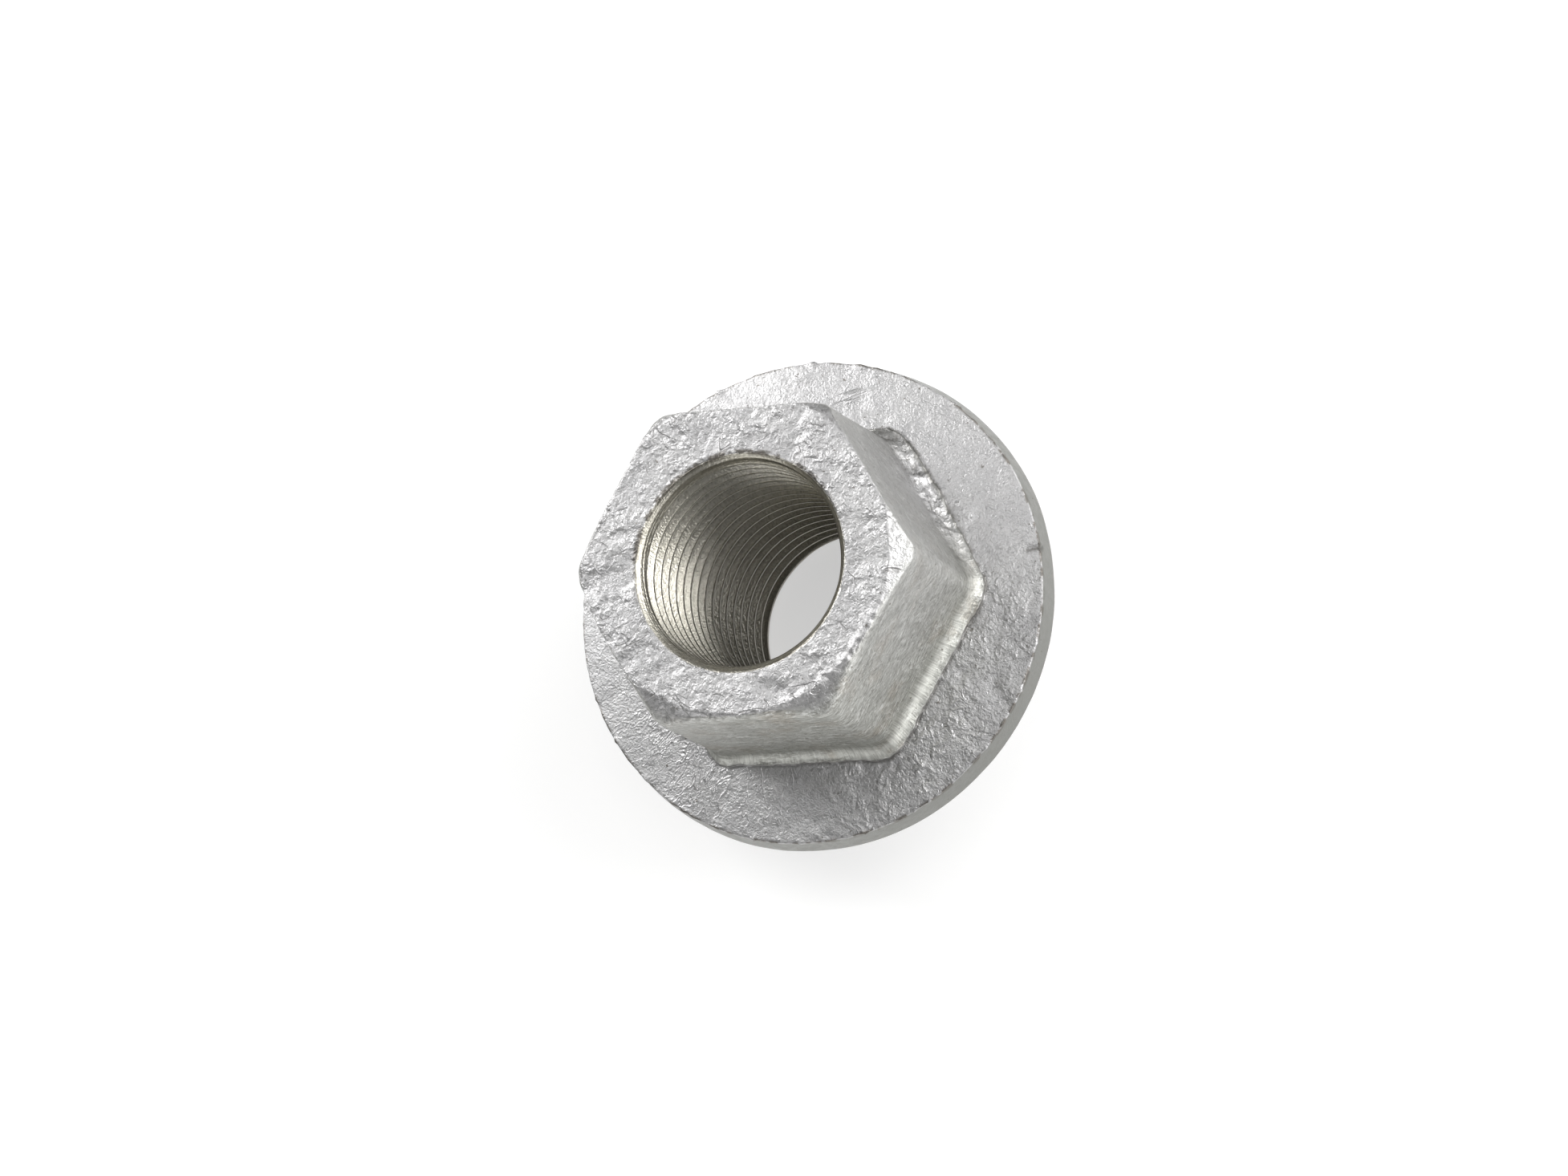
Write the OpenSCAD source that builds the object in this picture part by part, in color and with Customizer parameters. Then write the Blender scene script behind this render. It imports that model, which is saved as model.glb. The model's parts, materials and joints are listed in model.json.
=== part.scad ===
// Flanged hexagon pipe socket: one hot-forged, galvanised steel body with a
// through bore that is tapped for a parallel 1/2 inch pipe thread.
// The origin is the centre of the rear end face, and +Z runs along the bore
// towards the hexagon's face. All sizes are in millimetres.

/* [Length] */
// Overall length, from the rear end face to the hexagon's face
total_len = 33; // [30:0.1:40]
// Length of the plain round sleeve behind the flange
sleeve_len = 12.3; // [8:0.1:15]

/* [Hexagon] */
// Width across the flats at the hexagon's face
hex_af_top = 28.4; // [27:0.1:30]
// Width across the flats just above the foot fillet; the difference is forging draft
hex_af_foot = 28.8; // [28:0.1:31]
// Diameter over the rounded corners
hex_corner_d = 32.2; // [31:0.1:33]
// Radius of the fillet that spreads the hexagon's foot onto the flange
foot_fillet_r = 1.6; // [1:0.1:2.4]
// How far the fillet spreads from a flat before it ends in a lip
foot_spread = 1; // [0.5:0.1:1]
// Height of the fillet's lip over the flange, at the middle of a flat
foot_lip_h = 0.3; // [0.1:0.05:0.6]
// Diameter where the corner chamfer starts on the hexagon's face
face_circle_d = 28; // [26:0.1:30]
// Angle of the corner chamfer, from the hexagon's face
corner_chamfer_deg = 30; // [15:1:45]

/* [Flange] */
// Diameter of the flange at its rear face
flange_d = 46; // [44:0.1:50]
// Diameter of the flange at its front edge; the difference is forging draft
flange_front_d = 45.2; // [43:0.1:49]
// Thickness of the flange at its rim
rim_t = 2.7; // [2:0.1:4]
// Rise of the flange's front face, from the rim to the middle of a flat
face_rise = 0.8; // [0:0.1:1.5]
// Width of the broken edges of the rim
rim_break = 0.25; // [0.1:0.05:0.5]

/* [Sleeve] */
// Outside diameter of the sleeve
sleeve_d = 27; // [25:0.1:29]
// Chamfer round the sleeve's end
sleeve_chamfer = 0.8; // [0.2:0.1:1.5]
// Radius of the fillet between the sleeve and the flange's rear face
sleeve_root_r = 1; // [0.3:0.1:2]

/* [Bore] */
// Minor diameter of the thread, which is the wall of the bore
thread_minor_d = 18.63; // [17:0.01:21]
// Diameter of the countersink at each mouth
mouth_d = 20.2; // [19:0.1:22]
// Half angle of the mouth countersinks, from the bore's axis
mouth_half_deg = 45; // [30:1:60]

/* [Hidden] */
$fn = 96;
eps = 0.01;

flank_count = 6;
rim_front_z = sleeve_len + rim_t;
foot_half = hex_af_foot / 2 + foot_spread;
// Height of the flange's front face where it meets the middle of a flat
hub_face_z = rim_front_z + face_rise;
lip_z = hub_face_z + foot_lip_h;
fillet_top_z = lip_z + sqrt(pow(foot_fillet_r, 2) - pow(foot_fillet_r - foot_spread, 2));
// The hexagon starts inside the flange, so that the two are one solid
hex_root_z = sleeve_len + rim_t / 2;
corner_r = hex_corner_d / 2;
// Draft of one flank, and how far the cuts run past the solid they shape
draft_per_mm = (hex_af_foot - hex_af_top) / 2 / (total_len - fillet_top_z);
over_cut = 1;
// The turned shapes start between a flat and a corner of the hexagon
seam_deg = 15;
chamfer_drop = (corner_r - face_circle_d / 2) * tan(corner_chamfer_deg);
mouth_depth = (mouth_d - thread_minor_d) / 2 / tan(mouth_half_deg);

// Half section of the round parts: sleeve, flange and the sleeve's root fillet
module round_section() {
    difference() {
        polygon([
            [0, 0],
            [sleeve_d / 2 - sleeve_chamfer, 0],
            [sleeve_d / 2, sleeve_chamfer],
            [sleeve_d / 2, sleeve_len - sleeve_root_r],
            [sleeve_d / 2 + sleeve_root_r, sleeve_len - sleeve_root_r],
            [sleeve_d / 2 + sleeve_root_r, sleeve_len],
            [flange_d / 2 - rim_break, sleeve_len],
            [flange_d / 2, sleeve_len + rim_break],
            [flange_front_d / 2, rim_front_z - rim_break],
            [flange_front_d / 2 - rim_break, rim_front_z],
            [foot_half, hub_face_z],
            [0, hub_face_z]
        ]);
        translate([sleeve_d / 2 + sleeve_root_r, sleeve_len - sleeve_root_r])
            circle(r = sleeve_root_r);
    }
}

// Section of the cut that forms one flank: a drafted flat, and the foot fillet
// whose edge stands above the flange as a small lip
module flank_cut_section() {
    polygon([
        [hex_af_top / 2 - draft_per_mm * over_cut, total_len + over_cut],
        [hex_af_foot / 2, fillet_top_z],
        [foot_half, fillet_top_z],
        [foot_half, hex_root_z - over_cut],
        [flange_d / 2, hex_root_z - over_cut],
        [flange_d / 2, total_len + over_cut]
    ]);
    translate([hex_af_foot / 2 + foot_fillet_r, fillet_top_z])
        circle(r = foot_fillet_r);
}

// Half section that rounds the hexagon's corners and cuts their chamfer
module corner_section() {
    difference() {
        polygon([
            [0, hex_root_z],
            [corner_r + foot_spread, hex_root_z],
            [corner_r + foot_spread, fillet_top_z],
            [corner_r, fillet_top_z],
            [corner_r, total_len - chamfer_drop],
            [face_circle_d / 2, total_len],
            [0, total_len]
        ]);
        translate([corner_r + foot_fillet_r, fillet_top_z])
            circle(r = foot_fillet_r);
    }
}

module flank_cut() {
    rotate([90, 0, 0])
        linear_extrude(height = flange_d, center = true)
            flank_cut_section();
}

module hexagon() {
    difference() {
        rotate([0, 0, seam_deg]) rotate_extrude() corner_section();
        for (flank = [0 : flank_count - 1])
            rotate([0, 0, flank * 360 / flank_count]) flank_cut();
    }
}

// The tapped bore with a countersink at both mouths
module bore() {
    translate([0, 0, -eps])
        cylinder(d = thread_minor_d, h = total_len + 2 * eps);
    cylinder(d1 = mouth_d, d2 = thread_minor_d, h = mouth_depth);
    translate([0, 0, total_len - mouth_depth])
        cylinder(d1 = thread_minor_d, d2 = mouth_d, h = mouth_depth);
}

module flanged_hex_socket() {
    color([0.66, 0.67, 0.66])
        difference() {
            union() {
                rotate([0, 0, seam_deg]) rotate_extrude() round_section();
                hexagon();
            }
            bore();
        }
}

flanged_hex_socket();
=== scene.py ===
"""Looks of a galvanised flanged hexagon pipe socket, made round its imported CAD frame.

The socket is one closed mesh. Its outside is a stack of rings that follow the
section from the front mouth, over the hexagon and the flange, to the rear
mouth. Its bore is a grid that climbs with the thread, so that every crest and
root is a line of the mesh. Shapes are worked out in millimetres in the CAD
frame, and turned into metres when the mesh is made.
"""

import json
import math
from types import SimpleNamespace

import bmesh
import bpy
import numpy as np
from mathutils import Matrix, Vector, noise


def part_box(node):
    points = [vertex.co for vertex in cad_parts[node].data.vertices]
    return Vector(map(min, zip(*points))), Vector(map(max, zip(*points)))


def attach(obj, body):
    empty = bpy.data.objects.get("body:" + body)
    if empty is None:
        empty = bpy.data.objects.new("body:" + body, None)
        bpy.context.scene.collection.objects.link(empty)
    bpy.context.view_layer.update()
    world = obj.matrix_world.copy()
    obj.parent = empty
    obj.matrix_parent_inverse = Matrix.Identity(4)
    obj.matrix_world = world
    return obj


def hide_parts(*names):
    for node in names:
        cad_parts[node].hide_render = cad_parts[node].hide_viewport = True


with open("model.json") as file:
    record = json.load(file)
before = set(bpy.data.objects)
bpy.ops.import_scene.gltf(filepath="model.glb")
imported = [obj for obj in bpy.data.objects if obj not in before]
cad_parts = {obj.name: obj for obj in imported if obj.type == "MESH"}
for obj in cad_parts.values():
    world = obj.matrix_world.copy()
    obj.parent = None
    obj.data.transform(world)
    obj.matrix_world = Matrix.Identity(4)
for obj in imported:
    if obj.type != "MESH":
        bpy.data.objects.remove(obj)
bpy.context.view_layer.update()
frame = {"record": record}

MM = 0.001
NODE = "flanged_hex_socket"
MOUNTS = {m["name"]: m for m in frame["record"]["mounts"]}

# ---------------------------------------------------------------- dimensions

# From the frame
node_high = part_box(NODE)[1]
TOTAL_LEN = node_high.z / MM
FLANGE_R = node_high.x / MM
MINOR_R = MOUNTS["front_thread"]["dims"]["r_mm"]
SLEEVE_R = MOUNTS["sleeve"]["dims"]["r_mm"]
SLEEVE_LEN = MOUNTS["flange_rear_face"]["pos_m"][2] / MM

# The hexagon, as the CAD part has it
HEX_TOP_HALF = 14.2
HEX_FOOT_HALF = 14.4
CORNER_ROUND = 1.9
FACE_CIRCLE_R = 14.0
CHAMFER_SLOPE = math.tan(math.radians(30))
FOOT_FILLET_R = 1.6
FOOT_SPREAD = 1.0
LIP_H = 0.3

# The flange and the sleeve
RIM_T = 2.7
FACE_RISE = 0.8
RIM_DRAFT = 0.4
SLEEVE_CHAMFER = 0.8

# The thread, a 55 degree pipe thread
PITCH = 1.814
THREAD_DEPTH = 1.162
# The thread fades in over this height at each mouth
RUN_IN = 2.3
# The zinc leaves the countersink a little narrower than it was cut
MOUTH_R = 10.0
# Half a turn of the thread, from crest to root: (share of the pitch, of the depth)
HALF_THREAD = [(0, 0), (0.065, 0.005), (0.095, 0.07), (0.25, 0.53), (0.42, 0.97)]
THREAD = (
    HALF_THREAD
    + [(0.5, 1)]
    + [(1 - along, deep) for along, deep in reversed(HALF_THREAD[1:])]
)

# Heights along the axis
RIM_FRONT_Z = SLEEVE_LEN + RIM_T
HUB_FACE_Z = RIM_FRONT_Z + FACE_RISE
LIP_Z = HUB_FACE_Z + LIP_H

# Where the part departs from its plain shape. Directions round the axis are in
# degrees from +X, most with a half width; flats face 0, 60, 120 ...
# On the hexagon: a worn edge, a side with hardly any chamfer, a soft chamfer, a
# blunt corner and a lumpy burr
WORN_DEG, WORN_WIDTH_DEG = 318, 44
FULL_DEG, FULL_WIDTH_DEG = 150, 80
SOFT_DEG, SOFT_WIDTH_DEG = 262, 24
BLUNT_DEG, BLUNT_WIDTH_DEG, BLUNTED = 210, 11, 0.45
BURR_DEG, BURR_WIDTH_DEG = 335, 42
# At its foot: folds in the fillet, a side where it hardly flares, and the seam
FOLD_DEG, FOLD_WIDTH_DEG, FOLD_LENGTH = 68, 26, 1.05
PLAIN_DEG, PLAIN_WIDTH_DEG = 235, 45
SEAM_WIDTH = 0.35
# On the flange: the most crinkled side, raised veins, a nick and some scratches
CRINKLED_DEG, CRINKLED_WIDTH_DEG = 345, 55
VEIN_DEG, VEIN_WIDTH_DEG = 268, 26
NICK_DEG, NICK_LENGTH = 38.7, 2.2
SCRATCH_DEG, SCRATCH_RADIUS, SCRATCH_TURN_DEG = 108, 19.4, 46
# In colour alone: painted shade on the flats' dark side, the stain round the mouth, and
# the heights between which painted shade darkens the bore
SHADE_DEG, STAIN_DEG = 78, 140
DARKENS_FROM_Z, DARKEST_FROM_Z = 22, 8
# How far the relief in the mesh stands out or cuts in, in mm
LUMP, RIPPLE, CRINKLE, DENT = 0.05, 0.03, 0.025, 0.22
FOLD_HEIGHT, BURR_HEIGHT, NICK_DEPTH = 0.34, 0.36, 0.2

# The mesh: the bore's last rows lie END_GAP inside the end faces, and points
# closer than WELD become one point
BORE_COLUMNS = 200
OUTER_COLUMNS = 2 * BORE_COLUMNS
END_GAP = 0.02
WELD = 0.03


# ------------------------------------------------------------------- helpers

def angles(count):
    return np.arange(count) * 2 * math.pi / count


def bump_at(phi, centre_deg, width_deg):
    """A smooth hill of height 1 round the axis, centred on one direction."""
    off = (phi - math.radians(centre_deg) + math.pi) % (2 * math.pi) - math.pi
    return np.exp(-((off / math.radians(width_deg)) ** 2))


def wobble(phi, seed, density=3.0, octaves=3):
    """Smooth noise round the axis, about -1 to 1, that closes on itself."""
    out = np.empty(len(phi))
    for i, a in enumerate(phi):
        at = Vector((math.cos(a) * density, math.sin(a) * density, seed * 7.31))
        out[i] = noise.fractal(at, 0.9, 2.1, octaves)
    return out


def field(points, scale, seed, octaves=3, ridged=False):
    """Noise at each point; scale is the size of its largest lumps in mm."""
    out = np.empty(len(points))
    shift = Vector((seed * 13.7, seed * 5.1, seed * 9.3))
    for i, p in enumerate(points / scale):
        at = Vector(p) + shift
        if ridged:
            out[i] = noise.ridged_multi_fractal(at, 0.9, 2.1, octaves, 1.0, 1.8)
        else:
            out[i] = noise.fractal(at, 0.9, 2.1, octaves)
    return out


def plan_radius(phi, half, corner_round):
    """Distance from the axis to a hexagon with rounded corners."""
    sixth = math.pi / 3
    off_flat = np.abs((phi + sixth / 2) % sixth - sixth / 2)
    off_corner = sixth / 2 - off_flat
    centre = (half - corner_round) / math.cos(sixth / 2)
    touch = math.atan2(
        corner_round / 2, centre + corner_round * math.cos(sixth / 2)
    )
    flat = half / np.cos(off_flat)
    inside = np.maximum(corner_round**2 - (centre * np.sin(off_corner)) ** 2, 0)
    corner = centre * np.cos(off_corner) + np.sqrt(inside)
    return np.where(off_corner < touch, corner, flat)


SKIN = ("rough", "grain", "drag", "comb", "rim", "vein", "seam")


def station(
    r, z, rounding=0, arc=0, steps=1,
    rough=0, grain=0, drag=0, comb=0, rim=0, vein=0, seam=0,
):
    """A corner of the section. Any value but arc and steps may vary round the axis.

    rounding is the corner's radius, arc the number of steps round it, and steps
    the number to the next corner. The last seven are the skin there, each 0 to
    about 1: how crinkled the zinc is, how grainy it is, how much it shows drag
    lines along the flats, how much it is combed across the foot, whether it is
    the rim's smooth edge, how much it shows thin raised veins, and how much
    painted shade darkens the seam round the foot.
    """
    return dict(
        r=r, z=z, rounding=rounding, arc=arc, steps=steps,
        rough=rough, grain=grain, drag=drag, comb=comb, rim=rim, vein=vein, seam=seam,
    )


def rounded_section(stations, columns):
    """Rings of (radius, height), and the skin on them, along a section."""
    def spread(s, *keys):
        return np.stack([np.broadcast_to(s[k], columns) for k in keys], -1)

    at = [spread(s, "r", "z") for s in stations]
    skin = [spread(s, *SKIN) for s in stations]
    last = len(stations) - 1
    spans = [at[i + 1] - at[i] for i in range(last)]
    lengths = [np.linalg.norm(v, axis=-1) for v in spans]
    aims = [v / n[:, None] for v, n in zip(spans, lengths)]
    reach = [np.zeros(columns) for _ in stations]
    weight = [None] * len(stations)
    for i in range(1, last):
        half = np.arccos(np.clip(-(aims[i - 1] * aims[i]).sum(-1), -1, 1)) / 2
        reach[i] = spread(stations[i], "rounding")[:, 0] / np.tan(half)
        weight[i] = np.sin(half)[:, None]
    # Two roundings that share a span may not overlap
    room = [
        np.minimum(1, 0.98 * lengths[i] / np.maximum(reach[i] + reach[i + 1], 1e-6))
        for i in range(last)
    ]
    for i in range(1, last):
        reach[i] = reach[i] * np.minimum(room[i - 1], room[i])
    rings, skins = [at[0]], [skin[0]]
    for i in range(last):
        start = at[i] + aims[i] * reach[i][:, None]
        end = at[i + 1] - aims[i] * reach[i + 1][:, None]
        steps = stations[i]["steps"]
        for k in range(1, steps):
            rings.append(start + (end - start) * k / steps)
            skins.append(skin[i] + (skin[i + 1] - skin[i]) * (k / steps) ** 3)
        if i + 1 == last:
            rings.append(at[last])
            skins.append(skin[last])
            break
        arc, w = stations[i + 1]["arc"], weight[i + 1]
        leave = at[i + 1] + aims[i + 1] * reach[i + 1][:, None]
        for k in range(arc + 1):
            t = k / arc
            a, b, c = (1 - t) ** 2, 2 * w * t * (1 - t), t * t
            mixed = a * end + b * at[i + 1] + c * leave
            rings.append(mixed / (a + b + c))
            skins.append(skin[i + 1])
    return np.array(rings), np.array(skins)


# ----------------------------------------------------------------- the shape

def front_stations(phi):
    """The section from the front mouth to the flange's rear edge."""
    worn = bump_at(phi, WORN_DEG, WORN_WIDTH_DEG)
    folded = bump_at(phi, FOLD_DEG, FOLD_WIDTH_DEG)
    vein = bump_at(phi, VEIN_DEG, VEIN_WIDTH_DEG)
    crinkled = 0.36 + 0.7 * bump_at(phi, CRINKLED_DEG, CRINKLED_WIDTH_DEG)
    crinkled = crinkled - 0.15 * vein
    # One corner's chamfer blends into the flats
    soft = bump_at(phi, SOFT_DEG, SOFT_WIDTH_DEG)
    # One corner is blunter than the others
    crown = plan_radius(phi, HEX_TOP_HALF, CORNER_ROUND)
    crown = crown - BLUNTED * bump_at(phi, BLUNT_DEG, BLUNT_WIDTH_DEG)
    # The corners on one side are hardly chamfered
    full = np.clip(1.6 * bump_at(phi, FULL_DEG, FULL_WIDTH_DEG), 0, 1)
    face_r = np.minimum(FACE_CIRCLE_R + 1.2 * full, crown - 0.12)
    face_r = face_r + 0.12 * wobble(phi, 3, 6.0, 4) - 0.35 * worn
    crown_z = TOTAL_LEN - (crown - face_r) * CHAMFER_SLOPE
    foot = plan_radius(phi, HEX_FOOT_HALF, CORNER_ROUND)
    lip = plan_radius(
        phi, HEX_FOOT_HALF + FOOT_SPREAD, CORNER_ROUND + FOOT_SPREAD
    )
    # The foot hardly flares on one side
    spread = FOOT_SPREAD * (1 - 0.55 * bump_at(phi, PLAIN_DEG, PLAIN_WIDTH_DEG))
    lip = lip + spread - FOOT_SPREAD
    # The foot fillet ends before it is level; this is how far above the lip the
    # line of its last slope meets the flank
    foot_bend = spread / np.tan(np.arccos(1 - spread / FOOT_FILLET_R))
    lip = lip + (0.13 + 0.05 * folded) * wobble(phi, 4, 9.0, 4) + 0.45 * folded
    lip = lip + 0.06 * wobble(phi, 12, 26.0, 2)
    lip_z = LIP_Z + 0.04 * wobble(phi, 5, 6.0)
    face_slope = FACE_RISE / (FLANGE_R - HEX_FOOT_HALF - FOOT_SPREAD)
    face_z = RIM_FRONT_Z + face_slope * (FLANGE_R - lip)
    rim_r = FLANGE_R - RIM_DRAFT + 0.04 * wobble(phi, 7, 5.0)
    rim_z = RIM_FRONT_Z + 0.04 * wobble(phi, 8, 5.0)
    mouth_r = MOUTH_R + 0.1 + 0.08 * wobble(phi, 9, 8.0) + 0.08 * wobble(phi, 10, 30.0)
    # Painted shade in the seam round the foot, weaker on the side where the foot hardly
    # flares
    seam_shade_strength = 1 - 0.6 * bump_at(phi, PLAIN_DEG, 1.3 * PLAIN_WIDTH_DEG)
    return [
        station(MOUTH_R - END_GAP, TOTAL_LEN - END_GAP),
        station(mouth_r, TOTAL_LEN, 0.12, 2, 16, rough=1, grain=0.5),
        station(
            face_r, TOTAL_LEN, 0.18 + 0.5 * worn + 0.6 * full + 0.9 * soft, 4, 4,
            rough=1, grain=0.5,
        ),
        station(
            crown, crown_z, 0.22 + 0.9 * worn + 0.2 * full + 0.3 * soft, 5, 26,
            rough=1 - 0.2 * worn, grain=0.5, drag=0.4 + 0.4 * worn,
        ),
        station(
            foot, lip_z + foot_bend, FOOT_FILLET_R, 10, 1,
            rough=0.3 + 0.9 * folded, grain=0.4, comb=1 - folded,
        ),
        station(lip, lip_z, 0.08, 2, 1, rough=0.6, grain=0.6, comb=0.8, seam=0.2),
        station(lip + 0.03, face_z, 0.08, 2, 1, rough=1.2 * crinkled, grain=1, seam=seam_shade_strength),
        station(
            lip + SEAM_WIDTH, face_z - face_slope * SEAM_WIDTH, 0.05, 1, 24,
            rough=1.2 * crinkled, grain=1, vein=vein,
        ),
        station(rim_r, rim_z, 0.07, 2, 1, rough=1.1 * crinkled, grain=1, vein=0.3 * vein),
        station(rim_r + 0.03, rim_z - 0.25, 0.05, 2, 7, rough=0.15, grain=0.4, rim=1),
        station(FLANGE_R, SLEEVE_LEN, 0.25, 4, 1, rough=0.15, grain=0.4, rim=1),
        station(FLANGE_R - 0.6, SLEEVE_LEN, rough=0.5, grain=1),
    ]


def rear_stations(phi):
    """The section from the flange's rear face to the rear mouth."""
    sleeve = SLEEVE_R - 0.04 + 0.03 * wobble(phi, 11)
    return [
        station(FLANGE_R - 1.1, SLEEVE_LEN, steps=13, rough=0.5, grain=1),
        station(sleeve, SLEEVE_LEN, 1.0, 5, 20, rough=0.6, grain=0.8),
        station(sleeve, SLEEVE_CHAMFER, 0.25, 2, 2, rough=0.5, grain=0.8),
        station(SLEEVE_R - SLEEVE_CHAMFER, 0, 0.25, 2, 6, rough=0.7, grain=0.8),
        station(MOUTH_R + 0.1, 0, 0.1, 2, 1, rough=0.3, grain=0.5),
        station(MOUTH_R - END_GAP, END_GAP),
    ]


def bore_rows(phi):
    """Rows of (radius, height) that climb one pitch for each turn."""
    turns = math.ceil(TOTAL_LEN / PITCH) + 2
    rows = []
    for turn in range(-1, turns):
        for along, deep in THREAD:
            z = (turn + along + phi / (2 * math.pi)) * PITCH
            z = np.clip(z, END_GAP, TOTAL_LEN - END_GAP)
            from_end = np.minimum(TOTAL_LEN - z, z)
            t = np.clip((from_end - END_GAP) / RUN_IN, 0, 1)
            cut = MINOR_R + deep * THREAD_DEPTH * t * t * (3 - 2 * t)
            rows.append(np.stack([np.maximum(cut, MOUTH_R - from_end), z], -1))
    return np.array(rows)


def to_points(rings, phi):
    """(radius, height) rings as points in the CAD frame, in mm."""
    r, z = rings[..., 0], rings[..., 1]
    return np.stack([r * np.cos(phi), r * np.sin(phi), z], -1)


def band(lower, upper):
    """Quads between two rings of the same length."""
    return list(zip(lower, np.roll(lower, -1), np.roll(upper, -1), upper))


def step(coarse, fine):
    """Triangles between a ring and one of twice as many points."""
    faces = []
    for i, here in enumerate(coarse):
        ahead = coarse[(i + 1) % len(coarse)]
        a, b, c = fine[2 * i], fine[2 * i + 1], fine[(2 * i + 2) % len(fine)]
        faces += [(here, a, b), (here, b, ahead), (ahead, b, c)]
    return faces


def bore_faces(ids):
    """Quads of the climbing grid: its last column goes on one turn higher."""
    n_rows, columns = ids.shape
    turn = len(THREAD)
    faces = []
    for i in range(n_rows - 1):
        for j in range(columns):
            wrap = j + 1 == columns
            beside = ids[min(i + turn, n_rows - 1), 0] if wrap else ids[i, j + 1]
            above = (
                ids[min(i + 1 + turn, n_rows - 1), 0] if wrap else ids[i + 1, j + 1]
            )
            faces.append((ids[i, j], beside, above, ids[i + 1, j]))
    return faces


def socket_grid():
    """Points, faces, and the skin at each point, with how bare it is last."""
    fine, coarse = angles(OUTER_COLUMNS), angles(BORE_COLUMNS)
    front, front_skin = rounded_section(front_stations(fine), OUTER_COLUMNS)
    rear, rear_skin = rounded_section(rear_stations(coarse), BORE_COLUMNS)
    bore = bore_rows(coarse)
    bore_skin = np.zeros(bore.shape[:2] + (len(SKIN),))
    # The first ring of the front and the last of the rear are the bore's own
    parts = [
        (to_points(bore, coarse), bore_skin, 1),
        (to_points(front[1:], fine), front_skin[1:], 0),
        (to_points(rear[:-1], coarse), rear_skin[:-1], 0),
    ]
    points, skins, ids, used = [], [], [], 0
    for rings, skin, is_bare in parts:
        count = rings.shape[0] * rings.shape[1]
        ids.append(np.arange(used, used + count).reshape(rings.shape[:2]))
        points.append(rings.reshape(-1, 3))
        bare = np.full((count, 1), float(is_bare))
        skins.append(np.hstack([skin.reshape(count, -1), bare]))
        used += count
    bore_ids, front_ids, rear_ids = ids
    faces = bore_faces(bore_ids) + step(bore_ids[-1], front_ids[0])
    for rings in (front_ids, rear_ids):
        for lower, upper in zip(rings[:-1], rings[1:]):
            faces += band(lower, upper)
    faces += step(rear_ids[0], front_ids[-1])
    faces += band(rear_ids[-1], bore_ids[0])
    return np.concatenate(points), faces, np.concatenate(skins)


def nick(points):
    """A nick across the flange, out to its edge; it follows one line of the mesh."""
    r = np.hypot(points[:, 0], points[:, 1])
    phi = np.arctan2(points[:, 1], points[:, 0])
    beside = np.abs(phi - math.radians(NICK_DEG)) < math.pi / OUTER_COLUMNS
    beside = beside & (np.abs(points[:, 2] - RIM_FRONT_Z) < 0.6)
    return beside * np.clip((r - FLANGE_R + NICK_LENGTH) / 0.6, 0, 1)


def folds(points):
    """Folds across the foot fillet on one side: how strong, and how far up a lump."""
    r = np.hypot(points[:, 0], points[:, 1])
    phi = np.arctan2(points[:, 1], points[:, 0])
    z = points[:, 2]
    strong = np.clip(1.6 * bump_at(phi, FOLD_DEG, FOLD_WIDTH_DEG), 0, 1)
    near = (strong > 0.02) & (r < FLANGE_R - 4) & (np.abs(z - LIP_Z) < 4)
    lump = np.ones(len(points))
    ragged = z[near] + 0.45 * field(points[near], 1.3, 9, 3)
    strong[near] *= np.exp(-(((ragged - LIP_Z - 0.65) / 0.75) ** 2))
    strong[~near] = 0
    slanted = phi[near] * 16.5 + 0.6 * r[near]
    stretched = np.stack([slanted / FOLD_LENGTH, r[near] * 0.25, z[near] * 0.15], -1)
    lump[near] = np.clip(4.0 * np.abs(field(stretched, 1.0, 4, 3)), 0, 1)
    return strong, lump


def hollow_shade(points):
    """Painted shade: darker in the nick, and deep between the folds."""
    strong, lump = folds(points)
    between = np.clip(1.4 * strong, 0, 1) * np.clip(1 - 2.5 * lump, 0, 1)
    return np.maximum(nick(points), between)


def relief(points, rough, bare):
    """How far each point stands out from the plain shape, in mm."""
    r = np.hypot(points[:, 0], points[:, 1])
    phi = np.arctan2(points[:, 1], points[:, 0])
    z = points[:, 2]
    out = np.zeros(len(points))
    skin = bare < 0.5
    at = points[skin]
    lumps = field(at, 6.0, 1)
    ripple = field(at, 1.7, 2, 3)
    crinkle = field(at, 1.0, 3, 3, ridged=True) - 1.0
    dents = np.clip(field(at, 3.2, 7, 3) - 0.25, 0, 0.5)
    uneven = RIPPLE * ripple + CRINKLE * crinkle - DENT * dents
    out[skin] = LUMP * lumps + rough[skin] * uneven
    strong, lump = folds(points)
    out += skin * strong * (FOLD_HEIGHT * lump - 0.05)
    # A lumpy burr along the worn edge of the hexagon's face
    burr = bump_at(phi, BURR_DEG, BURR_WIDTH_DEG) * (z > TOTAL_LEN - 1)
    burr = burr * np.exp(-(((r - FACE_CIRCLE_R + 0.25) / 0.4) ** 2))
    near = skin & (burr > 0.03)
    beads = np.maximum(field(points[near], 0.8, 5, 2) + 0.35, 0)
    out[near] += BURR_HEIGHT * burr[near] * beads
    out -= NICK_DEPTH * nick(points)
    # Small burrs along the rim's front edge
    edge = np.exp(-(((r - FLANGE_R + RIM_DRAFT) / 0.25) ** 2))
    edge = edge * np.exp(-(((z - RIM_FRONT_Z) / 0.3) ** 2)) * skin
    near = edge > 0.05
    drops = np.clip(field(points[near], 0.7, 6, 2) - 0.25, 0, 0.6)
    out[near] += edge[near] * (0.4 * drops + 0.07 * field(points[near], 1.2, 8, 3))
    return out


def add_float(mesh, name, values):
    layer = mesh.attributes.new(name, "FLOAT", "POINT")
    layer.data.foreach_set("value", np.asarray(values, np.float32))


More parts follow.
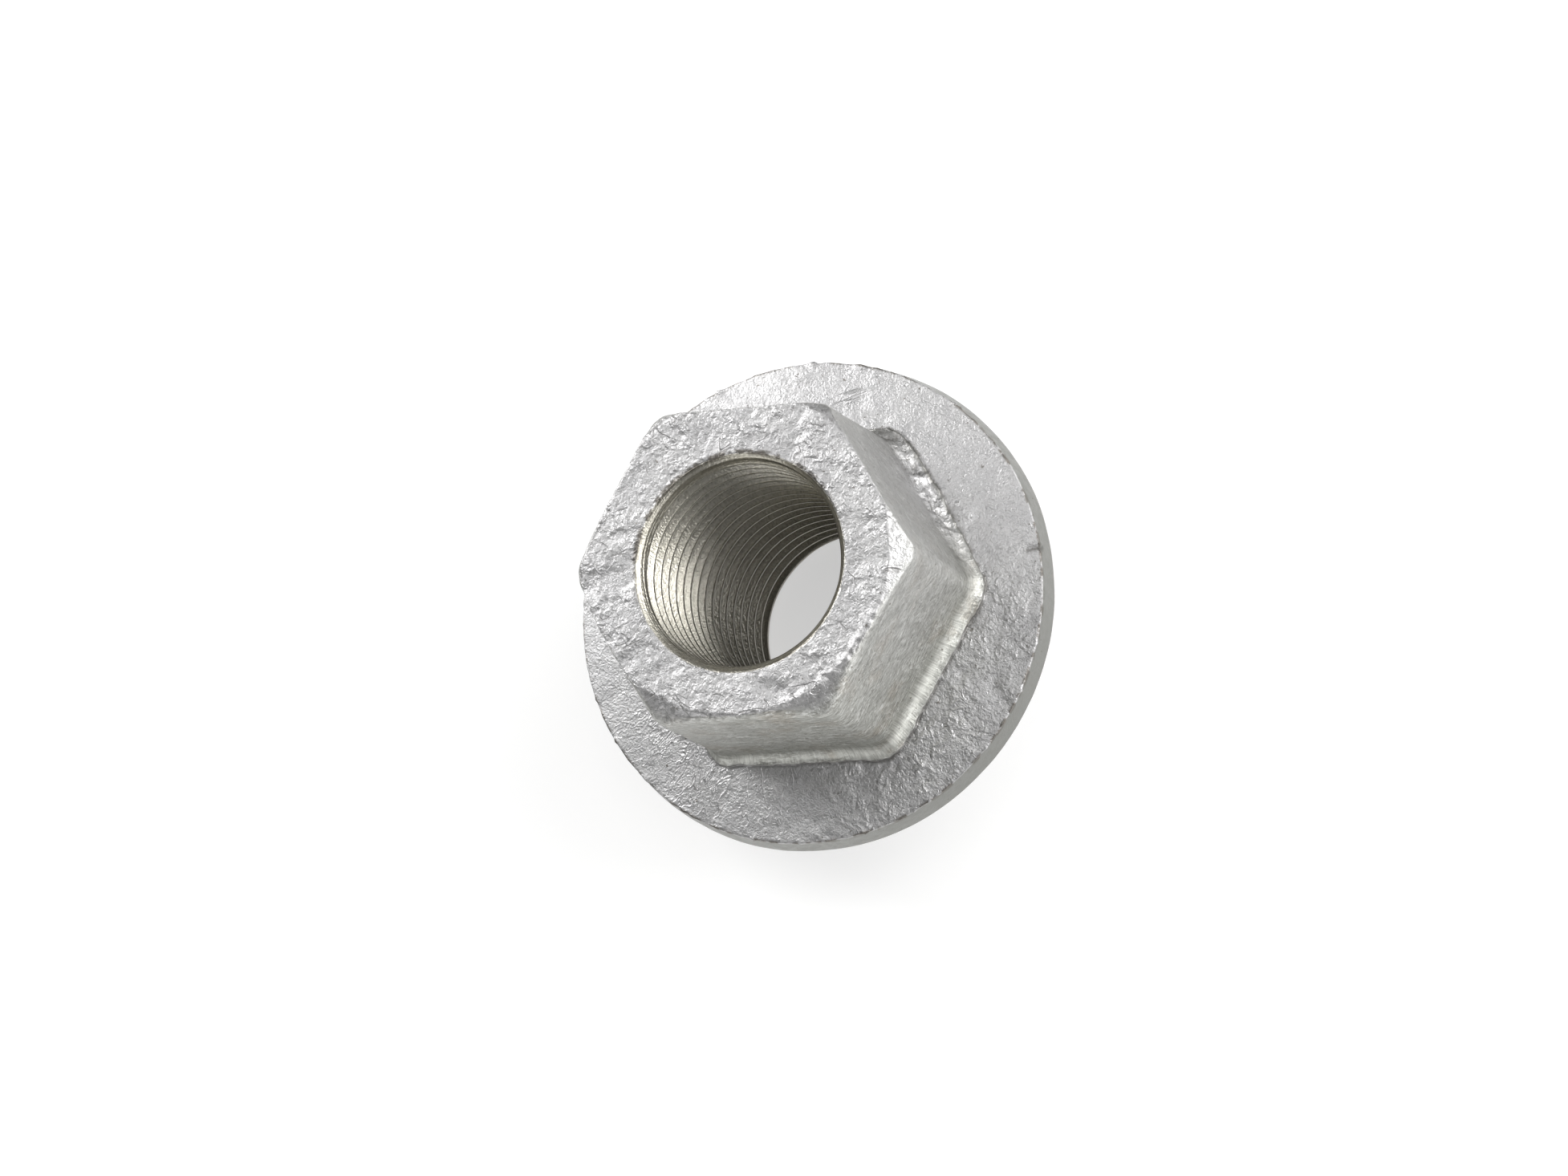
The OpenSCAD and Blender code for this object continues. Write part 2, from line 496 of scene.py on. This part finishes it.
def read_float(mesh, name):
    values = np.zeros(len(mesh.vertices), np.float32)
    mesh.attributes[name].data.foreach_get("value", values)
    return values


def make_socket():
    points, faces, skins = socket_grid()
    mesh = bpy.data.meshes.new("socket")
    mesh.from_pydata((points * MM).tolist(), [], faces)
    for name, values in zip(SKIN + ("bare",), skins.T):
        add_float(mesh, name, values)
    # The rows that are clipped at the mouths fall together into one ring
    work = bmesh.new()
    work.from_mesh(mesh)
    bmesh.ops.remove_doubles(work, verts=work.verts, dist=WELD * MM)
    bmesh.ops.recalc_face_normals(work, faces=work.faces)
    work.to_mesh(mesh)
    work.free()
    co = np.zeros(len(mesh.vertices) * 3)
    mesh.vertices.foreach_get("co", co)
    normal = np.zeros(len(co))
    mesh.vertex_normals.foreach_get("vector", normal)
    co, normal = co.reshape(-1, 3), normal.reshape(-1, 3)
    height = relief(co / MM, read_float(mesh, "rough"), read_float(mesh, "bare"))
    # The seam attribute also takes the painted shade in the nick and between the folds
    seam = np.maximum(read_float(mesh, "seam"), hollow_shade(co / MM))
    mesh.attributes["seam"].data.foreach_set("value", seam.astype(np.float32))
    co = co + normal * height[:, None] * MM
    # The rear end stands on the floor, so nothing reaches below it
    co[:, 2] = np.maximum(co[:, 2], 0.0)
    mesh.vertices.foreach_set("co", co.ravel())
    mesh.shade_smooth()
    mesh.update()
    socket = bpy.data.objects.new("socket", mesh)
    bpy.context.scene.collection.objects.link(socket)
    return socket


# ----------------------------------------------------------------- materials

class Nodes:
    """A short way to write a node tree."""

    def __init__(self, material):
        material.use_nodes = True
        self.tree = material.node_tree
        self.tree.nodes.clear()

    def add(self, kind, inputs=(), **settings):
        node = self.tree.nodes.new(kind)
        for key, value in settings.items():
            setattr(node, key, value)
        for key, value in dict(inputs).items():
            self.set(node.inputs[key], value)
        return node

    def set(self, socket, value):
        if isinstance(value, bpy.types.NodeSocket):
            self.tree.links.new(value, socket)
        else:
            socket.default_value = value

    def math(self, operation, a, b=0.0, c=0.0, clamp=False):
        node = self.add("ShaderNodeMath", operation=operation, use_clamp=clamp)
        for socket, value in zip(node.inputs, (a, b, c)):
            self.set(socket, value)
        return node.outputs[0]

    def attribute(self, name):
        return self.add("ShaderNodeAttribute", attribute_name=name).outputs["Fac"]

    def noise(self, at, size, detail=3.0, distortion=0.0, rough=0.55):
        """Noise whose largest lumps are size mm across, about 0 to 1."""
        node = self.add(
            "ShaderNodeTexNoise",
            {"Vector": at, "Scale": 1 / size, "Detail": detail,
             "Distortion": distortion, "Roughness": rough},
        )
        return node.outputs[0]

    def ridges(self, at, size, detail, distortion):
        """Sharp creases size mm apart, about 0 to 1 and highest on the creases."""
        node = self.add(
            "ShaderNodeTexNoise",
            {"Vector": at, "Scale": 1 / size, "Detail": detail, "Roughness": 0.5,
             "Distortion": distortion, "Offset": 1.0, "Gain": 1.0},
            noise_type="RIDGED_MULTIFRACTAL", normalize=False,
        )
        return node.outputs[0]

    def ramp(self, value, low, high, to_low=0.0, to_high=1.0):
        node = self.add(
            "ShaderNodeMapRange",
            {"Value": value, "From Min": low, "From Max": high,
             "To Min": to_low, "To Max": to_high},
            interpolation_type="SMOOTHSTEP",
        )
        return node.outputs[0]

    def line(self, value, width):
        """1 where value is 0.5, down to 0 where it is width away from that."""
        off = self.math("ABSOLUTE", self.math("SUBTRACT", value, 0.5))
        return self.ramp(off, 0.0, width, 1.0, 0.0)

    def scaled(self, vector, by):
        node = self.add(
            "ShaderNodeVectorMath", {0: vector, 1: by}, operation="MULTIPLY"
        )
        return node.outputs[0]

    def split(self, vector):
        return self.add("ShaderNodeSeparateXYZ", {0: vector}).outputs

    def join(self, x, y, z=0.0):
        return self.add("ShaderNodeCombineXYZ", {0: x, 1: y, 2: z}).outputs[0]

    def sum(self, *terms):
        """The sum of (value, share) terms."""
        total = 0.0
        for value, share in terms:
            total = self.math("MULTIPLY_ADD", value, share, total)
        return total

    def times(self, *values):
        """The product of the values."""
        total = values[0]
        for value in values[1:]:
            total = self.math("MULTIPLY", total, value)
        return total

    def blend(self, factor, a, b):
        node = self.add("ShaderNodeMix", {0: factor, 2: a, 3: b}, data_type="FLOAT")
        return node.outputs[0]

    def mix(self, factor, a, b):
        node = self.add("ShaderNodeMix", data_type="RGBA")
        self.set(node.inputs["Factor"], factor)
        for name, value in (("A", a), ("B", b)):
            socket = [i for i in node.inputs if i.name == name and i.type == "RGBA"][0]
            self.set(socket, value)
        return [o for o in node.outputs if o.type == "RGBA"][0]


def rgb(red, green, blue):
    return red, green, blue, 1.0


ZINC_DULL, ZINC_BRIGHT = rgb(0.45, 0.446, 0.448), rgb(0.50, 0.496, 0.495)
ZINC_PATCH, ZINC_VALLEY = rgb(0.32, 0.32, 0.315), rgb(0.25, 0.248, 0.245)
FLAT_DULL, FLAT_BRIGHT = rgb(0.44, 0.445, 0.41), rgb(0.51, 0.514, 0.485)
FLAT_BROWN, FLAT_SHADE = rgb(0.40, 0.36, 0.30), rgb(0.15, 0.148, 0.135)
STREAK_DARK, STREAK_BRIGHT = rgb(0.24, 0.235, 0.21), rgb(0.74, 0.745, 0.72)
HAIR_DARK, HAIR_BRIGHT = rgb(0.38, 0.38, 0.355), rgb(0.57, 0.575, 0.54)
SCUFF, RIM_GREY = rgb(0.8, 0.8, 0.78), rgb(0.26, 0.261, 0.247)
RUST_AND_SHADE, SEAM_SHADE, CRACK = rgb(0.12, 0.105, 0.085), rgb(0.14, 0.135, 0.125), rgb(0.2, 0.19, 0.18)
STEEL_DULL, STEEL_BRIGHT = rgb(0.41, 0.392, 0.34), rgb(0.56, 0.54, 0.475)
STEEL_GRAIN, STEEL_DEEP_SHADE = rgb(0.28, 0.265, 0.22), rgb(0.26, 0.25, 0.225)
MOUTH_STAIN = rgb(0.10, 0.09, 0.075)
WHITE, FLAT_GLANCE = rgb(1.0, 1.0, 1.0), rgb(0.45, 0.45, 0.42)


def shared_parts(n):
    """Coordinates in mm, the mesh's masks, and patterns that relief and colour share."""
    place = n.add("ShaderNodeTexCoord").outputs["Object"]
    at = n.scaled(place, (1 / MM,) * 3)
    x, y, z = n.split(at)
    s = SimpleNamespace(at=at, x=x, y=y, z=z)
    for name in SKIN + ("bare",):
        setattr(s, name, n.attribute(name))
    # The hexagon's flats, down to the end of the fillet at their foot
    s.flats = n.math("ADD", s.drag, s.comb, clamp=True)
    s.radius = n.math("SQRT", n.sum((n.times(x, x), 1.0), (n.times(y, y), 1.0)))
    # Distance round the foot of the hexagon
    s.around = n.times(n.math("ARCTAN2", y, x), HEX_FOOT_HALF + FOOT_SPREAD)
    s.wrinkle = n.noise(at, 0.32, 2.0, 0.8, 0.5)
    # Cracks in the hexagon's face, where a slow noise crosses its middle value
    s.crack = n.times(
        n.line(n.noise(at, 5.0, 2.0, 0.5, 0.55), 0.012),
        n.ramp(n.noise(at, 3.0, 2.0), 0.5, 0.6),
        n.ramp(z, TOTAL_LEN - 1.5, TOTAL_LEN - 0.8),
    )
    # Comb lines run across the foot fillet
    across = n.join(n.times(s.around, 6.2), n.times(s.radius, 0.7))
    s.combed = n.noise(across, 1.0, 3.0, 0.4)
    return s


def reach_towards(n, s, degrees):
    """How far each point lies from the axis, in one direction round it."""
    a = math.radians(degrees)
    return n.sum((s.x, math.cos(a)), (s.y, math.sin(a)))


def scratches(n, s):
    """A small patch of parallel scratches on the flange's front face."""
    a, turn = math.radians(SCRATCH_DEG), math.radians(SCRATCH_TURN_DEG)
    centre = (SCRATCH_RADIUS * math.cos(a), SCRATCH_RADIUS * math.sin(a), RIM_FRONT_Z)
    moved = n.add(
        "ShaderNodeMapping",
        {"Vector": s.at, "Location": centre, "Rotation": (0, 0, turn)},
        vector_type="TEXTURE",
    ).outputs[0]
    lines = n.ramp(n.noise(n.scaled(moved, (0.2, 3.0, 0.2)), 1.0), 0.5, 0.62)
    far = n.add(
        "ShaderNodeVectorMath", {0: n.scaled(moved, (0.5, 1.2, 0.5))},
        operation="LENGTH",
    ).outputs["Value"]
    return n.times(lines, n.ramp(far, 0.6, 1.1, 1.0, 0.0))


def fine_relief(n, s):
    """Relief too fine for the mesh, in mm."""
    swell = n.noise(s.at, 1.3, 1.0, 0.8, 0.5)
    # Creases come in patches, and some patches are calmer than others
    creased = n.ramp(n.noise(s.at, 2.4, 2.0), 0.5, 0.62)
    crease = n.times(n.ridges(s.at, 0.9, 2.0, 0.7), creased)
    lively = n.ramp(n.noise(s.at, 3.4, 2.0, 0.5), 0.4, 0.6, 0.65, 1.15)
    grain = n.noise(s.at, 0.22, 2.0, 0.5, 0.5)
    coarse = n.sum((s.wrinkle, 0.066), (swell, 0.07), (crease, 0.04), (s.crack, -0.05))
    # Drag lines run level round the flats
    level = n.noise(n.scaled(s.at, (0.25, 0.25, 4.0)), 1.2, 4.0, 0.5)
    # Veins wander outwards over the flange
    outward = n.join(n.times(s.around, 0.57), n.times(s.radius, 0.22))
    veins = n.times(n.line(n.noise(outward, 1.0, 3.0, 0.5), 0.025), s.vein)
    zinc = n.sum(
        (n.times(coarse, s.rough, lively), 1.0),
        (n.times(grain, s.grain), 0.05),
        (n.times(level, s.drag), 0.09),
        (n.times(s.combed, s.comb), 0.03),
        (veins, 0.05),
        (scratches(n, s), -0.05),
    )
    # Tool marks run round the bore near its front mouth
    rings = n.noise(n.scaled(s.at, (0.02, 0.02, 3.2)), 1.0, 2.0)
    near_mouth = n.ramp(s.z, TOTAL_LEN - 4, TOTAL_LEN - 1.5)
    steel = n.sum((n.noise(s.at, 0.2, 2.0), 0.05), (n.times(rings, near_mouth), 0.12))
    return n.blend(s.bare, zinc, steel)


def flat_colour(n, s):
    """The hexagon's flats and foot: greener, streaked, scuffed and combed, with painted
    shade on the side towards SHADE_DEG.
    """
    mottle = n.noise(s.at, 2.5, 4.0, 0.8)
    streak = n.noise(n.scaled(s.at, (0.5, 0.5, 2.2)), 0.45, 4.0, 1.4)
    flat = n.mix(mottle, FLAT_DULL, FLAT_BRIGHT)
    flat = n.mix(n.ramp(n.noise(s.at, 4.0, 3.0), 0.5, 0.68, 0, 0.7), flat, FLAT_BROWN)
    flat = n.mix(n.ramp(streak, 0.5, 0.6, 0, 0.85), flat, STREAK_DARK)
    flat = n.mix(n.ramp(streak, 0.46, 0.37, 0, 0.75), flat, STREAK_BRIGHT)
    # Painted shade: the flats that face SHADE_DEG are darkened towards FLAT_SHADE
    shade = n.ramp(reach_towards(n, s, SHADE_DEG), 9, 14, 0, 0.8)
    flat = n.mix(shade, flat, FLAT_SHADE)
    scuff = n.times(
        n.line(n.noise(s.at, 1.5, 3.0, 0.3), 0.02),
        n.ramp(n.noise(s.at, 2.2, 2.0), 0.45, 0.6, 0, 0.6),
    )
    flat = n.mix(scuff, flat, SCUFF)
    hairs = n.mix(n.ramp(s.combed, 0.35, 0.65), HAIR_DARK, HAIR_BRIGHT)
    clear = n.ramp(n.noise(s.at, 1.8, 3.0), 0.36, 0.58, 0.35, 1.0)
    return n.mix(n.times(n.ramp(s.comb, 0.75, 1.0), clear), flat, hairs)


def zinc_colour(n, s):
    cloud = n.ramp(n.noise(s.at, 5.0, 3.0, 0.6), 0.35, 0.68)
    zinc = n.mix(cloud, ZINC_DULL, ZINC_BRIGHT)
    patch = n.ramp(n.noise(s.at, 1.1, 4.0, 1.2), 0.55, 0.75, 0, 0.2)
    zinc = n.mix(patch, zinc, ZINC_PATCH)
    valley = n.times(n.ramp(s.wrinkle, 0.46, 0.34, 0, 0.6), s.rough)
    zinc = n.mix(valley, zinc, ZINC_VALLEY)
    zinc = n.mix(s.flats, zinc, flat_colour(n, s))
    zinc = n.mix(s.rim, zinc, RIM_GREY)
    # Dark patches along the rim's front edge: partly rust, and partly painted shade for a
    # thin shadow line there
    rim_edge_rust_and_shade = n.times(
        n.ramp(s.radius, FLANGE_R - 0.65, FLANGE_R - 0.4),
        n.ramp(s.z, RIM_FRONT_Z - 0.6, RIM_FRONT_Z - 0.1),
        n.ramp(n.noise(s.at, 1.2, 4.0), 0.44, 0.54, 0, 0.8),
    )
    zinc = n.mix(rim_edge_rust_and_shade, zinc, RUST_AND_SHADE)
    # Painted shade in the seam round the foot, in the nick and between the folds, and
    # dark lines along the cracks
    seam = n.times(s.seam, n.ramp(n.noise(s.at, 1.2, 4.0), 0.35, 0.5, 0.3, 0.85))
    zinc = n.mix(seam, zinc, SEAM_SHADE)
    zinc = n.mix(n.times(s.crack, s.rough, 0.35), zinc, CRACK)
    speck = n.ramp(n.noise(s.at, 0.55, 2.0), 0.69, 0.75, 0, 0.7)
    return n.mix(speck, zinc, RUST_AND_SHADE)


def steel_colour(n, s):
    steel = n.mix(n.noise(s.at, 0.5, 3.0), STEEL_DULL, STEEL_BRIGHT)
    grain = n.ramp(n.noise(s.at, 0.22, 2.0), 0.45, 0.65, 0, 0.5)
    steel = n.mix(grain, steel, STEEL_GRAIN)
    # Painted shade: the bore's steel darkens deeper in, from DARKENS_FROM_Z down to
    # DARKEST_FROM_Z
    deep = n.ramp(s.z, DARKENS_FROM_Z, DARKEST_FROM_Z, 0, 0.45)
    return n.mix(deep, steel, STEEL_DEEP_SHADE)


def mouth_stain(n, s):
    """A thin dark stain round part of the front mouth, where the zinc was cut away."""
    off = n.math("ABSOLUTE", n.math("SUBTRACT", s.radius, MOUTH_R + 0.1))
    return n.times(
        n.ramp(off, 0.1, 0.4, 1, 0),
        n.ramp(s.z, TOTAL_LEN - 0.6, TOTAL_LEN - 0.2),
        n.ramp(n.noise(s.at, 0.9, 4.0), 0.4, 0.55),
        n.ramp(reach_towards(n, s, STAIN_DEG), -3, 6, 0, 0.85),
    )


def galvanised_material():
    """Hot-dip zinc outside, and bare tapped steel where the mesh says so."""
    material = bpy.data.materials.new("galvanised_steel")
    n = Nodes(material)
    s = shared_parts(n)
    bump = n.add(
        "ShaderNodeBump", {"Strength": 1.0, "Distance": MM, "Height": fine_relief(n, s)}
    )
    colour = n.mix(s.bare, zinc_colour(n, s), steel_colour(n, s))
    colour = n.mix(mouth_stain(n, s), colour, MOUTH_STAIN)
    gloss = n.ramp(n.noise(s.at, 0.8, 3.0), 0.3, 0.7, 0.36, 0.5)
    gloss = n.blend(s.bare, gloss, 0.3)
    # The flats are duller: they mirror less at a glancing angle
    gloss = n.blend(s.flats, gloss, 0.48)
    metal = n.blend(s.flats, 0.92, 0.86)
    glance = n.mix(s.flats, WHITE, FLAT_GLANCE)
    shader = n.add(
        "ShaderNodeBsdfPrincipled",
        {"Base Color": colour, "Metallic": metal, "Roughness": gloss,
         "Specular Tint": glance, "Normal": bump.outputs[0]},
    )
    n.add("ShaderNodeOutputMaterial", {"Surface": shader.outputs[0]})
    return material


# ------------------------------------------------------------------ the stage

FLOOR_SIDE = 3.0
FLOOR_COLOUR, FLOOR_ROUGHNESS, FLOOR_GLOW = rgb(0.56, 0.56, 0.555), 0.9, 0.5


def floor_material():
    """A lit table: it stays pale under the part and through the bore."""
    material = bpy.data.materials.new("floor")
    nodes = Nodes(material)
    shader = nodes.add(
        "ShaderNodeBsdfPrincipled",
        {"Base Color": FLOOR_COLOUR, "Roughness": FLOOR_ROUGHNESS,
         "Emission Color": WHITE, "Emission Strength": FLOOR_GLOW},
    )
    nodes.add("ShaderNodeOutputMaterial", {"Surface": shader.outputs[0]})
    return material


def make_floor():
    mesh = bpy.data.meshes.new("floor")
    half = FLOOR_SIDE / 2
    corners = [(-half, -half, 0), (half, -half, 0), (half, half, 0), (-half, half, 0)]
    mesh.from_pydata(corners, [], [(0, 1, 2, 3)])
    floor = bpy.data.objects.new("floor", mesh)
    bpy.context.scene.collection.objects.link(floor)
    mesh.materials.append(floor_material())


# Azimuth and elevation in degrees, side in metres, power in watts
LIGHTS = {
    "key": (172, 40, 0.4, 3.7),
    "top": (70, 75, 0.5, 1.4),
    "corner": (42, 28, 0.5, 4.6),
    "low": (0, 13, 0.5, 2.0),
    "folds": (70, 30, 0.5, 2.0),
    "foot": (272, 20, 0.5, 1.2),
}
LIGHT_DISTANCE = 0.8
WORLD_STRENGTH = 0.17


def direction_from(azimuth, elevation):
    """A unit vector from the part, angles in degrees."""
    a, e = math.radians(azimuth), math.radians(elevation)
    return Vector((math.cos(a) * math.cos(e), math.sin(a) * math.cos(e), math.sin(e)))


def area_light(name, azimuth, elevation, size, power):
    """A square soft light that faces the part."""
    light = bpy.data.lights.new(name, "AREA")
    light.energy, light.size = power, size
    lamp = bpy.data.objects.new(name, light)
    lamp.visible_camera = False
    bpy.context.scene.collection.objects.link(lamp)
    away = direction_from(azimuth, elevation)
    turn = away.to_track_quat("Z", "Y").to_matrix().to_4x4()
    lamp.matrix_world = Matrix.Translation(away * LIGHT_DISTANCE) @ turn


def make_lights():
    world = bpy.data.worlds.new("studio")
    world.use_nodes = True
    background = world.node_tree.nodes["Background"]
    background.inputs["Color"].default_value = WHITE
    background.inputs["Strength"].default_value = WORLD_STRENGTH
    bpy.context.scene.world = world
    for name, (azimuth, elevation, size, power) in LIGHTS.items():
        area_light(name, azimuth, elevation, size, power)


CAMERA_AZIMUTH, CAMERA_ELEVATION, CAMERA_ROLL = -1.0, 66.3, 61.0
CAMERA_DISTANCE = 0.4794
CAMERA_TARGET = (-0.00066, -0.00004, 0.020)
CAMERA_LENS = 120.4


def make_camera():
    data = bpy.data.cameras.new("camera")
    data.lens, data.sensor_width = CAMERA_LENS, 36
    camera = bpy.data.objects.new("camera", data)
    bpy.context.scene.collection.objects.link(camera)
    back = direction_from(CAMERA_AZIMUTH, CAMERA_ELEVATION)
    level = (-back).cross(Vector((0, 0, 1))).normalized()
    upright = level.cross(-back)
    roll = math.radians(CAMERA_ROLL)
    right = level * math.cos(roll) - upright * math.sin(roll)
    up = upright * math.cos(roll) + level * math.sin(roll)
    turn = Matrix((right, up, back)).transposed().to_4x4()
    place = Vector(CAMERA_TARGET) + back * CAMERA_DISTANCE
    camera.matrix_world = Matrix.Translation(place) @ turn
    data.clip_start, data.clip_end = 0.01, 10
    bpy.context.scene.camera = camera


make_camera()
make_lights()
make_floor()
socket = make_socket()
socket.data.materials.append(galvanised_material())
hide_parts(NODE)
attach(socket, "root")

bpy.context.scene.view_settings.view_transform = "Standard"
